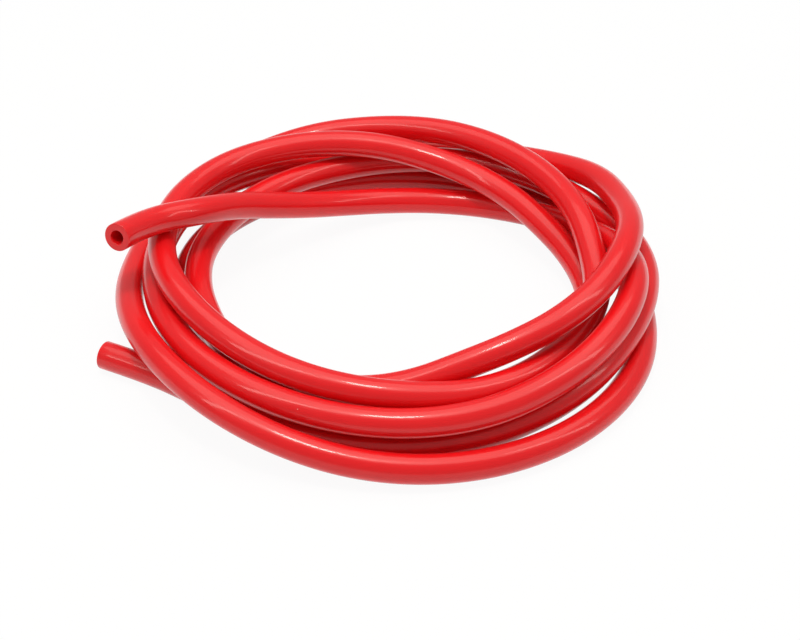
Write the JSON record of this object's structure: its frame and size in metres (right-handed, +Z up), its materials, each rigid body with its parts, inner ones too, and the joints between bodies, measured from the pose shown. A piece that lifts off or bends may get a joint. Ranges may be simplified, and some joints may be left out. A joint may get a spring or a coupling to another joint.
{
  "type": "rubber gas tubing",
  "caption": "Loose coil of flexible red rubber tubing with plain square-cut ends and an open bore, for carrying gas to a burner or other small lab apparatus.",
  "frame": {"origin": "centre of the bounding box in plan, on the surface that the coil lies on", "axes": "+Z up from the surface that the coil lies on. Both free ends are at the -X side, one above the other, and +Y is the far side of the coil in the picture"},
  "size_m": [0.1992, 0.197, 0.0463],
  "materials": {
    "tubing": "glossy"
  },
  "bodies": {
    "root": {"tubing": "tubing"}
  },
  "joints": []
}
